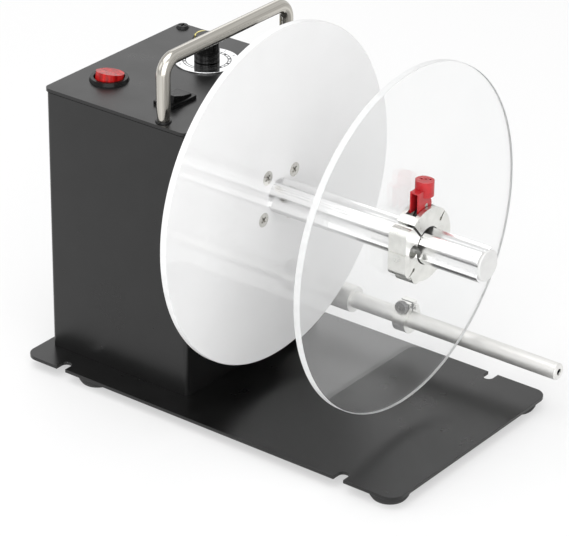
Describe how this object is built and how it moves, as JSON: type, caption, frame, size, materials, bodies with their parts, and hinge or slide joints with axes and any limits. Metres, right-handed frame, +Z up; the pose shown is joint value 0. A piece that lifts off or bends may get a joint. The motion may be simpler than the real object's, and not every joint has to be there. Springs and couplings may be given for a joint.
{
  "type": "label rewinder",
  "caption": "Table-top label rewinder: sheet cabinet on a notched base, fluted spindle with flange discs, quick-release cam collar, guide rod and carry handle.",
  "frame": {"origin": "middle of the footprint, on the table under the feet", "axes": "+X along the spindle away from the cabinet, +Y to the back, +Z up"},
  "size_m": [0.275, 0.2, 0.2203],
  "materials": {
    "powder_coat": "fine-textured semi-gloss black powder coat",
    "rubber": "matt black rubber",
    "plated_screw": "zinc-plated steel",
    "black_screw": "blackened steel",
    "brushed_steel": "brushed stainless steel",
    "black_plastic": "satin black plastic",
    "gloss_black": "glossy black plastic",
    "red_clear": "translucent red plastic",
    "red_plastic": "glossy red plastic",
    "dial_silver": "satin printed aluminium",
    "yellow_plastic": "yellow plastic",
    "steel": "ground steel",
    "board_green": "green solder mask",
    "belt_rubber": "black belt rubber",
    "machined_aluminium": "machined aluminium",
    "opal_acrylic": "glossy opal white acrylic",
    "clear_acrylic": "clear polished acrylic",
    "bright_aluminium": "bright extruded aluminium",
    "white_plastic": "white plastic",
    "nickel_steel": "nickel-plated steel",
    "satin_aluminium": "satin aluminium",
    "wire_insulation": "wire insulation"
  },
  "bodies": {
    "frame": {"base_plate": "powder_coat", "rubber_feet": "rubber", "foot_nuts": "plated_screw", "cabinet_shell": "powder_coat", "base_screws": "plated_screw", "rear_panel": "powder_coat", "panel_screws": "black_screw", "top_cover": "powder_coat", "cover_screws": "black_screw", "carry_handle": "brushed_steel", "handle_washers": "black_plastic", "handle_bolts": "plated_screw", "power_switch": "black_plastic", "direction_switch": "black_plastic", "dial_plate": "dial_silver", "potentiometer": "steel", "button_housing": "black_plastic", "power_inlet": "black_plastic", "control_board": "board_green", "board_parts": "black_plastic", "board_standoffs": "plated_screw", "gearmotor": "steel", "motor_bracket": "steel", "motor_screws": "plated_screw", "bracket_screws": "plated_screw", "drive_belt": "belt_rubber", "bearing_housing": "machined_aluminium", "ball_bearings": "steel", "housing_screws": "plated_screw", "rod_bracket": "machined_aluminium", "rod_bracket_screws": "plated_screw", "guide_rod": "satin_aluminium", "rod_set_screw": "black_screw", "wiring_loom": "wire_insulation"},
    "spindle_group": {"drive_shaft": "steel", "driven_pulley": "machined_aluminium", "hub_flange": "machined_aluminium", "rear_disc": "opal_acrylic", "disc_screws": "plated_screw", "spindle": "bright_aluminium", "end_cap": "white_plastic"},
    "motor_rotor": {"motor_shaft": "steel", "motor_pulley": "machined_aluminium"},
    "front_flange": {"front_disc": "clear_acrylic", "flange_screws": "plated_screw", "clamp_collar": "nickel_steel", "clamp_stud": "black_screw", "lever_pin": "plated_screw"},
    "cam_lever": {"cam_lever": "red_plastic"},
    "speed_knob": {"pot_shaft": "steel", "speed_knob": "gloss_black"},
    "power_rocker": {"power_rocker": "red_clear"},
    "direction_rocker": {"direction_rocker": "black_plastic"},
    "push_button": {"push_button": "yellow_plastic"},
    "stop_collar": {"stop_collar": "nickel_steel"},
    "thumb_screw": {"thumb_screw": "black_screw"}
  },
  "joints": [
    {"name": "spindle_spin", "type": "hinge", "parent": "frame", "child": "spindle_group", "pos_m": [0, 0, 0.1203], "axis": [1, 0, 0], "continuous": true},
    {"name": "motor_spin", "type": "hinge", "parent": "frame", "child": "motor_rotor", "pos_m": [0, 0, 0.0503], "axis": [1, 0, 0], "continuous": true},
    {"name": "flange_slide", "type": "slide", "parent": "spindle_group", "child": "front_flange", "axis": [1, 0, 0], "range_m": [-0.06, 0.036]},
    {"name": "lever_swing", "type": "hinge", "parent": "front_flange", "child": "cam_lever", "pos_m": [0.0863, 0.0015, 0.1428], "axis": [1, 0, 0], "range_deg": [0, 55]},
    {"name": "knob_turn", "type": "hinge", "parent": "frame", "child": "speed_knob", "pos_m": [-0.0841, 0.0284, 0.172], "axis": [0, 0, 1], "range_deg": [-150, 150]},
    {"name": "power_rock", "type": "hinge", "parent": "frame", "child": "power_rocker", "pos_m": [-0.1106, -0.0264, 0.172], "axis": [1, 0, 0], "range_deg": [0, 22]},
    {"name": "direction_rock", "type": "hinge", "parent": "frame", "child": "direction_rocker", "pos_m": [-0.0628, -0.0264, 0.172], "axis": [1, 0, 0], "range_deg": [0, 26]},
    {"name": "button_press", "type": "slide", "parent": "frame", "child": "push_button", "axis": [0, 0, 1], "range_m": [-0.00125, 0], "stiffness_N_per_m": 400, "springref_m": 0.0015},
    {"name": "stop_slide", "type": "slide", "parent": "frame", "child": "stop_collar", "axis": [1, 0, 0], "range_m": [-0.026, 0.09]},
    {"name": "thumb_turn", "type": "hinge", "parent": "stop_collar", "child": "thumb_screw", "pos_m": [0.0297, 0.06846, 0.0369], "axis": [0, 1, 0], "range_deg": [0, 180]}
  ],
  "couplings": [
    {"joint": "motor_spin", "follows": "spindle_spin", "ratio": 1.9702}
  ]
}
